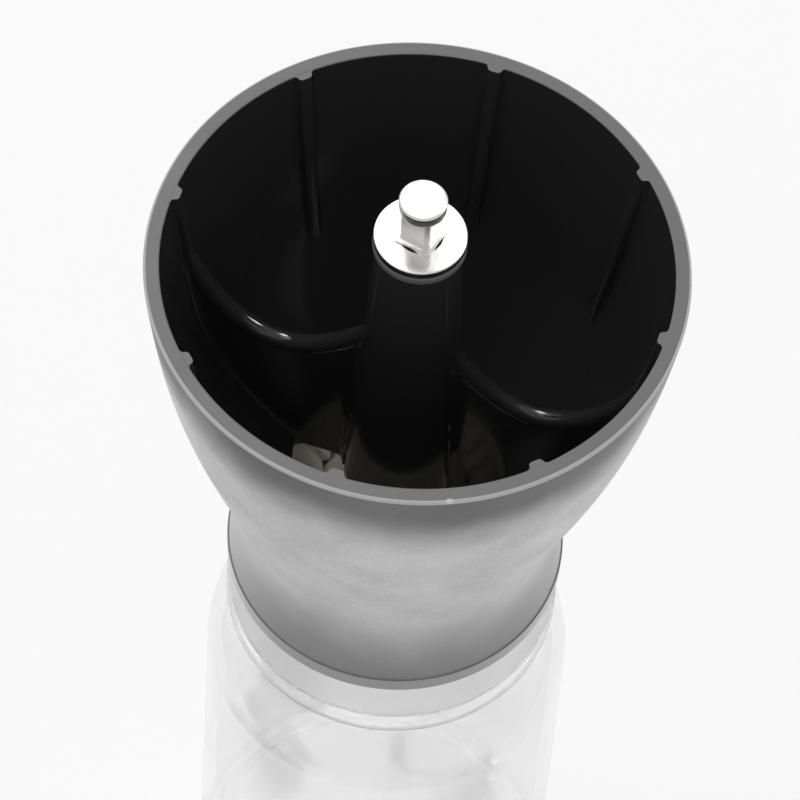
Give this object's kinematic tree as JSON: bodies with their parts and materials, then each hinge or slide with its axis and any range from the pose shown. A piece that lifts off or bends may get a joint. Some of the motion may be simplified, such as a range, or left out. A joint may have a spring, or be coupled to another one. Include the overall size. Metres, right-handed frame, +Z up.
{
  "type": "hand crank coffee grinder",
  "caption": "Slim hand crank coffee grinder: flared open hopper with bridged bearing column, keyed spindle, conical ceramic burrs and clear jar, with its lid and crank laid beside it.",
  "frame": {"origin": "on the grinder's axis, at the flat base of the jar", "axes": "+Z up along the spindle, +X along the bridge that carries the bearing column; the lid and the crank lie towards -Y"},
  "size_m": [0.163, 0.1639, 0.1895],
  "materials": {
    "smoke_plastic": "satin",
    "clear_plastic": "polished clear",
    "smoke_clear_plastic": "polished smoke clear",
    "stainless_steel": "bright turned",
    "spring_steel": "drawn wire",
    "brass": "turned",
    "white_ceramic": "fired, unglazed",
    "grey_nylon": "moulded",
    "black_plastic": "satin moulded",
    "silicone": "matte"
  },
  "bodies": {
    "hopper": {"hopper_body": "smoke_plastic", "upper_bush": "grey_nylon", "lower_bush": "grey_nylon", "burr_cushion": "silicone", "outer_burr": "white_ceramic", "burr_retainer": "black_plastic"},
    "jar": {"jar": "clear_plastic"},
    "spindle": {"drive_shaft": "stainless_steel", "thrust_washer": "stainless_steel", "spring_washer": "stainless_steel", "burr_spring": "spring_steel", "end_clip": "spring_steel"},
    "burr_set": {"inner_burr": "white_ceramic", "burr_carrier": "black_plastic", "click_washer": "stainless_steel"},
    "nut": {"adjusting_nut": "black_plastic", "nut_insert": "brass"},
    "lid": {"lid": "smoke_clear_plastic"},
    "crank": {"crank_arm": "stainless_steel", "crank_hub": "black_plastic", "knob_pin": "stainless_steel", "knob_washer": "grey_nylon"},
    "knob": {"crank_knob": "black_plastic", "knob_cap": "black_plastic"}
  },
  "joints": [
    {"name": "spindle_turn", "type": "hinge", "parent": "hopper", "child": "spindle", "pos_m": [0, 0, 0.15], "axis": [0, 0, 1], "continuous": true},
    {"name": "burr_travel", "type": "slide", "parent": "spindle", "child": "burr_set", "axis": [0, 0, -1], "range_m": [0, 0.0016], "deforming": ["burr_spring"]},
    {"name": "nut_turn", "type": "hinge", "parent": "burr_set", "child": "nut", "pos_m": [0, 0, 0.099], "axis": [0, 0, -1], "range_deg": [0, 720]},
    {"name": "jar_unscrew", "type": "hinge", "parent": "hopper", "child": "jar", "pos_m": [0, 0, 0.1], "axis": [0, 0, -1], "range_deg": [0, 540]},
    {"name": "lid_lift", "type": "slide", "parent": "hopper", "child": "lid", "axis": [0, 0, 1], "range_m": [0, 0.05]},
    {"name": "crank_lift", "type": "slide", "parent": "hopper", "child": "crank", "axis": [0, 0, 1], "range_m": [0, 0.05]},
    {"name": "knob_spin", "type": "hinge", "parent": "crank", "child": "knob", "pos_m": [0.054, -0.115, 0.02], "axis": [0, 0, 1], "continuous": true}
  ],
  "couplings": [
    {"joint": "nut_turn", "follows": "burr_travel", "rad_per_m": 7854}
  ]
}
